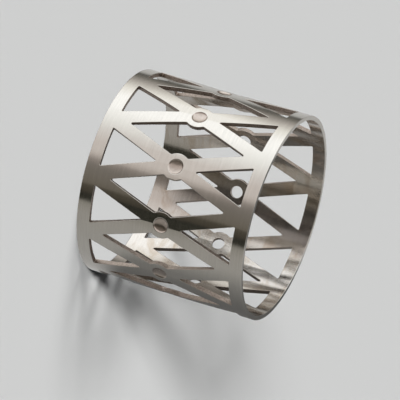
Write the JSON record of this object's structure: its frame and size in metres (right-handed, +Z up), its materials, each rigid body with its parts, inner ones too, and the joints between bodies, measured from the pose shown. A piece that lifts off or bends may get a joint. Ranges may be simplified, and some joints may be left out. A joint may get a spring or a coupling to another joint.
{
  "type": "napkin ring",
  "caption": "Short openwork metal tube that a rolled napkin slides through, with X-shaped crossings between two plain end bands.",
  "frame": {"origin": "middle of the end that the ring stands on", "axes": "+Z up along the axis of the ring, -Y towards the middle of the front, where the crossings have dishes, and +Y towards the middle of the crossings with holes"},
  "size_m": [0.045, 0.045, 0.038],
  "materials": {
    "ring_metal": "satin, brushed round the ring"
  },
  "bodies": {
    "root": {"lattice_ring": "ring_metal"}
  },
  "joints": []
}
